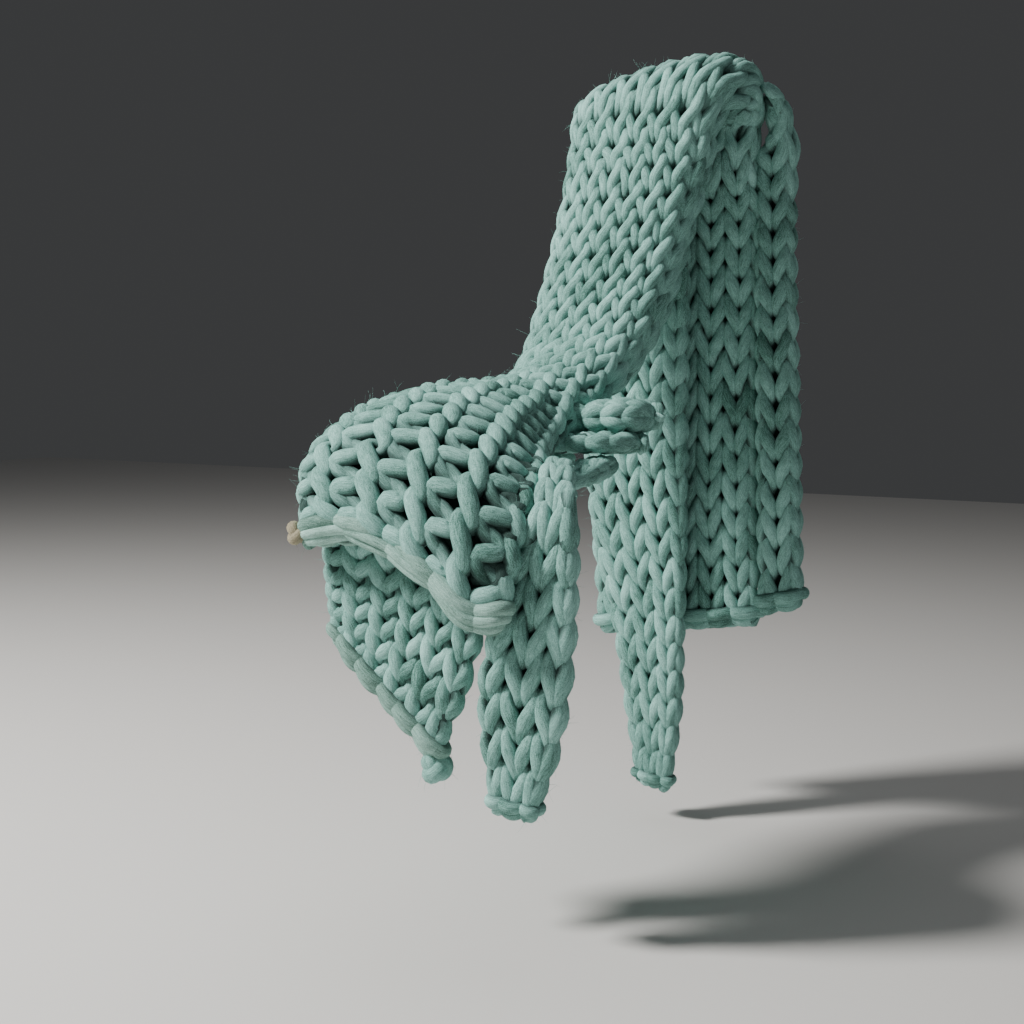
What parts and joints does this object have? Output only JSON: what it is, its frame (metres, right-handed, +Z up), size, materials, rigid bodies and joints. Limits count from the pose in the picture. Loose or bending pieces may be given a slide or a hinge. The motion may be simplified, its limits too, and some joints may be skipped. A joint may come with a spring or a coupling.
{
  "type": "chunky knitted throw",
  "caption": "Chunky hand-knitted throw, folded lengthwise and draped over a chair's back rail and seat, with bound-off hems and hanging corners.",
  "frame": {"origin": "middle of the flat underside with which the throw rests on a seat", "axes": "+Z up, +Y from the seat's front edge to the chair's back, +X to the sitter's left"},
  "size_m": [0.4011, 0.6142, 0.9124],
  "materials": {
    "knitted_roving": "thick felted wool roving, sage green with darker teal flecks and a fine fuzz",
    "hem_roving": "the same roving bound off in a chain, slightly paler and warmer",
    "knot_roving": "knotted yarn end, rubbed to a fuzzy beige brown"
  },
  "bodies": {
    "root": {"front_hem_band": "knitted_roving", "seat_front_band": "knitted_roving", "seat_rear_band": "knitted_roving", "backrest_foot_band": "knitted_roving", "backrest_lower_band": "knitted_roving", "backrest_upper_band": "knitted_roving", "rail_fold_band": "knitted_roving", "back_upper_band": "knitted_roving", "back_middle_band": "knitted_roving", "back_lower_band": "knitted_roving", "edge_fold_over_rail": "knitted_roving", "edge_fold_upper": "knitted_roving", "edge_fold_lower": "knitted_roving", "inner_layer_upper": "knitted_roving", "inner_layer_lower": "knitted_roving", "rear_tail_upper": "knitted_roving", "rear_tail_lower": "knitted_roving", "seat_under_layer": "knitted_roving", "under_flap": "knitted_roving", "middle_tail_on_seat": "knitted_roving", "middle_tail_bend": "knitted_roving", "middle_tail_upper": "knitted_roving", "middle_tail_lower": "knitted_roving", "upper_side_roll": "knitted_roving", "lower_side_roll": "knitted_roving", "tucked_corner": "knitted_roving", "front_hem_chain": "hem_roving", "back_hem_chain": "hem_roving", "edge_fold_chain": "hem_roving", "under_flap_chain": "hem_roving", "middle_tail_chain": "hem_roving", "rear_tail_chain": "hem_roving", "corner_knot": "knot_roving", "flap_corner_knot": "knot_roving"}
  },
  "joints": []
}
